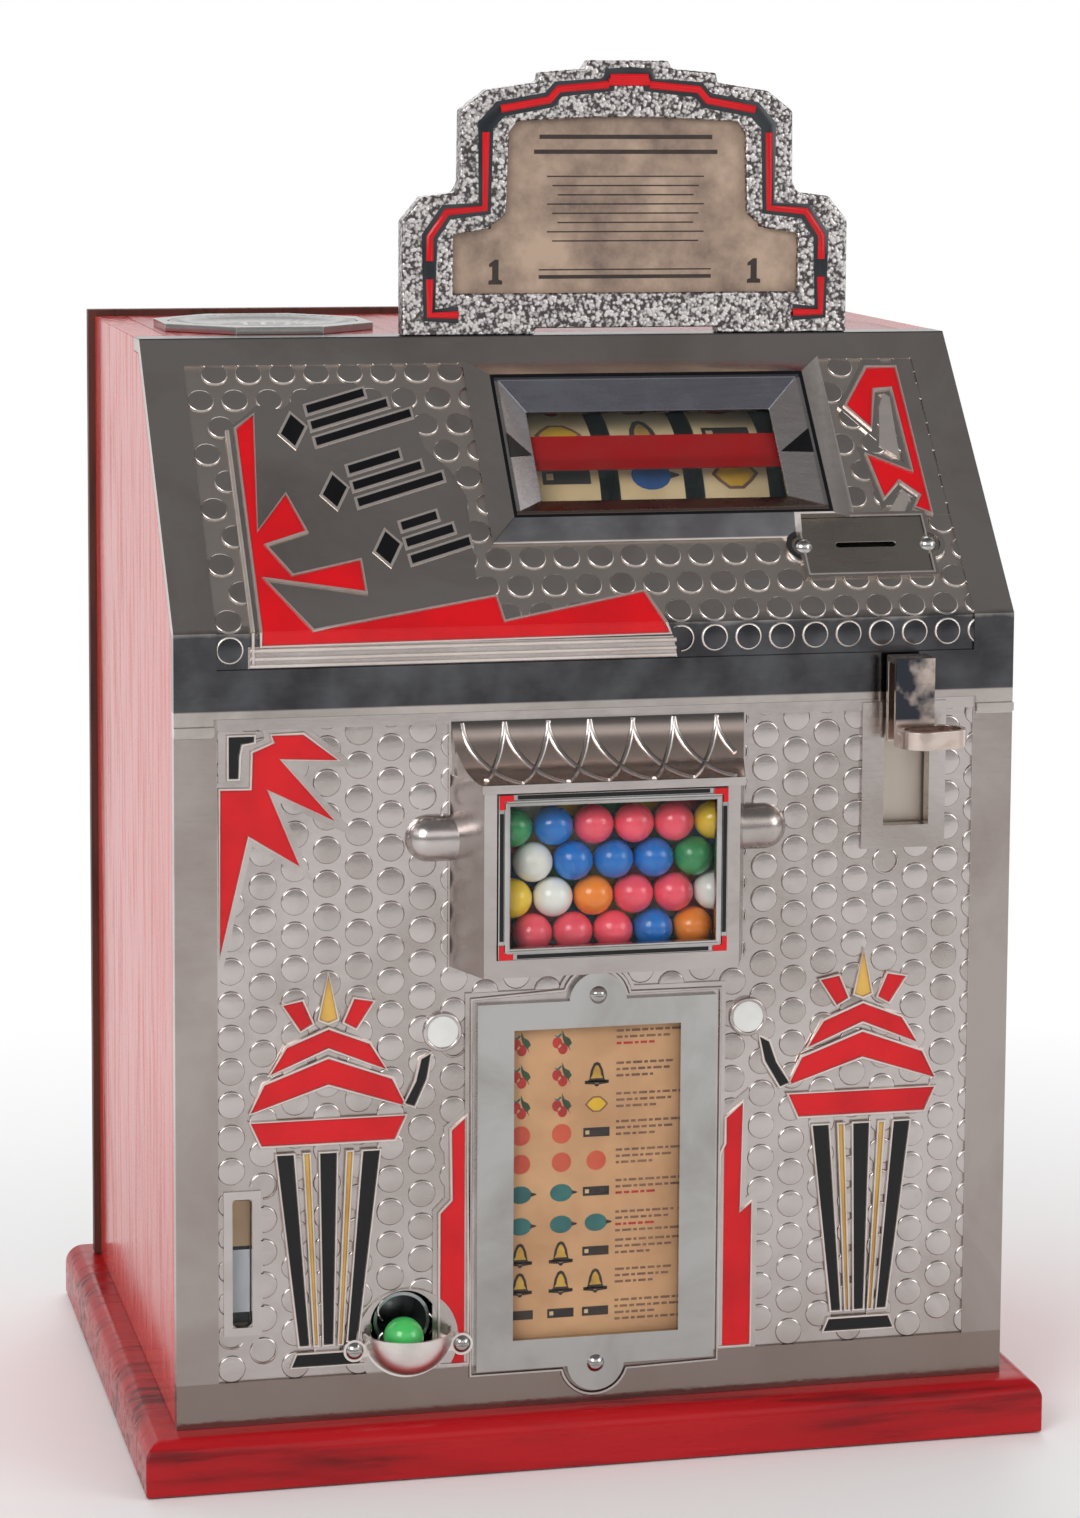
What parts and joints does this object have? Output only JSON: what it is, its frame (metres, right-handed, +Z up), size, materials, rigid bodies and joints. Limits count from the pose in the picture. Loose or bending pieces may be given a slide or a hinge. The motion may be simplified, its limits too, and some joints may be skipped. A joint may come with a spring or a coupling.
{
  "type": "trade stimulator",
  "caption": "Counter-top coin-operated reel game that vends gum balls, with cast metal front, thumb lever, gum window, award card, delivery cup and stepped sign on a wooden cabinet.",
  "frame": {"origin": "underside of the base board, on the centre line, straight below the face of the lower casting", "axes": "+X to the player's right, +Y from the front to the back, +Z up"},
  "size_m": [0.33, 0.2583, 0.499],
  "materials": {
    "base_wood": "red stained, grained, satin varnish",
    "side_wood": "red stained, satin varnish",
    "door_board": "dark stained hardboard",
    "plain_wood": "bare",
    "cast_front": "cast, plated and polished",
    "cast_head": "cast, darkly plated and polished",
    "crackle_metal": "silver crackle finish with a red line",
    "plated_metal": "nickel plated",
    "steel": "plain steel",
    "dark_metal": "black",
    "tinplate": "tinned sheet",
    "brass": "plain brass",
    "clear_glass": "clear",
    "aged_card": "aged printed card",
    "reel_paper": "aged printed strip",
    "red_strip": "translucent dark red",
    "gum_green": "sugar coated",
    "gum_red": "sugar coated, several colours"
  },
  "bodies": {
    "cabinet": {"base_board": "base_wood", "side_panel_left": "side_wood", "side_panel_right": "side_wood", "top_board": "side_wood", "hinge_frame_leaves": "steel", "hinge_pins": "steel", "front_casting": "cast_front", "head_casting": "cast_head", "marquee_frame": "crackle_metal", "marquee_card": "aged_card", "marquee_backplate": "steel", "reel_bezel": "plated_metal", "reel_glass": "clear_glass", "line_strip": "red_strip", "coin_plate": "plated_metal", "front_screws": "plated_metal", "gum_frame": "plated_metal", "gum_glass": "clear_glass", "card_frame": "plated_metal", "card_glass": "clear_glass", "award_card": "aged_card", "gum_cup": "plated_metal", "cup_ball": "gum_green", "coin_glass": "clear_glass", "lever_guide": "steel", "lever_spring": "steel", "filler_collar": "plated_metal", "shelf_cleats": "plain_wood", "mech_shelf": "steel", "mech_plate_left": "steel", "mech_plate_right": "steel", "mech_ties": "steel", "reel_shaft": "steel", "pawl_shaft": "steel", "gum_duct": "tinplate", "gum_magazine": "tinplate", "gum_balls": "gum_red", "gum_wheel_housing": "tinplate", "gum_tube": "tinplate", "coin_chute": "tinplate", "coin_race": "tinplate", "cash_box": "tinplate"},
    "rear_door": {"rear_door": "door_board", "hinge_door_leaves": "steel", "lock_cylinder": "brass"},
    "lock_plug": {"lock_plug": "brass"},
    "lever": {"thumb_lever": "plated_metal", "lever_slide": "steel"},
    "kicker": {"kicker": "steel"},
    "gum_wheel": {"gum_wheel": "brass"},
    "filler_lid": {"filler_lid": "plated_metal"},
    "reel_1": {"reel_drum_1": "dark_metal", "reel_strip_1": "reel_paper"},
    "reel_2": {"reel_drum_2": "dark_metal", "reel_strip_2": "reel_paper"},
    "reel_3": {"reel_drum_3": "dark_metal", "reel_strip_3": "reel_paper"},
    "stop_pawl_1": {"stop_pawl_1": "steel"},
    "stop_pawl_2": {"stop_pawl_2": "steel"},
    "stop_pawl_3": {"stop_pawl_3": "steel"}
  },
  "joints": [
    {"name": "lever_press", "type": "slide", "parent": "cabinet", "child": "lever", "axis": [0, 0, -1], "range_m": [0, 0.031], "stiffness_N_per_m": 300, "springref_m": -0.03, "deforming": ["lever_spring"]},
    {"name": "kicker_swing", "type": "hinge", "parent": "cabinet", "child": "kicker", "pos_m": [0.04, 0.044, 0.264], "axis": [1, 0, 0], "range_deg": [0, 68]},
    {"name": "gum_wheel_turn", "type": "hinge", "parent": "cabinet", "child": "gum_wheel", "pos_m": [-0.071, 0.025, 0.1575], "axis": [0, 1, 0], "range_deg": [0, 91]},
    {"name": "rear_door_hinge", "type": "hinge", "parent": "cabinet", "child": "rear_door", "pos_m": [0.1562, 0.217, 0.2], "axis": [0, 0, -1], "range_deg": [0, 105]},
    {"name": "lock_turn", "type": "hinge", "parent": "rear_door", "child": "lock_plug", "pos_m": [-0.12, 0.215, 0.21], "axis": [0, -1, 0], "range_deg": [0, 90]},
    {"name": "filler_lid_lift", "type": "slide", "parent": "cabinet", "child": "filler_lid", "axis": [0, 0, 1], "range_m": [0, 0.02]},
    {"name": "reel_spin_1", "type": "hinge", "parent": "cabinet", "child": "reel_1", "pos_m": [0.0008, 0.10302, 0.3203], "axis": [1, 0, 0], "continuous": true},
    {"name": "reel_spin_2", "type": "hinge", "parent": "cabinet", "child": "reel_2", "pos_m": [0.0328, 0.10302, 0.3203], "axis": [1, 0, 0], "continuous": true},
    {"name": "reel_spin_3", "type": "hinge", "parent": "cabinet", "child": "reel_3", "pos_m": [0.0648, 0.10302, 0.3203], "axis": [1, 0, 0], "continuous": true},
    {"name": "stop_pawl_drop_1", "type": "hinge", "parent": "cabinet", "child": "stop_pawl_1", "pos_m": [-0.01465, 0.15672, 0.3513], "axis": [1, 0, 0], "range_deg": [0, 10], "stiffness_Nm_per_rad": 0.05, "springref_deg": -5.73},
    {"name": "stop_pawl_drop_2", "type": "hinge", "parent": "cabinet", "child": "stop_pawl_2", "pos_m": [0.01735, 0.15672, 0.3513], "axis": [1, 0, 0], "range_deg": [0, 10], "stiffness_Nm_per_rad": 0.05, "springref_deg": -5.73},
    {"name": "stop_pawl_drop_3", "type": "hinge", "parent": "cabinet", "child": "stop_pawl_3", "pos_m": [0.04935, 0.15672, 0.3513], "axis": [1, 0, 0], "range_deg": [0, 10], "stiffness_Nm_per_rad": 0.05, "springref_deg": -5.73}
  ],
  "couplings": [
    {"joint": "kicker_swing", "follows": "lever_press", "rad_per_m": 37.84},
    {"joint": "gum_wheel_turn", "follows": "lever_press", "rad_per_m": 50.67}
  ]
}
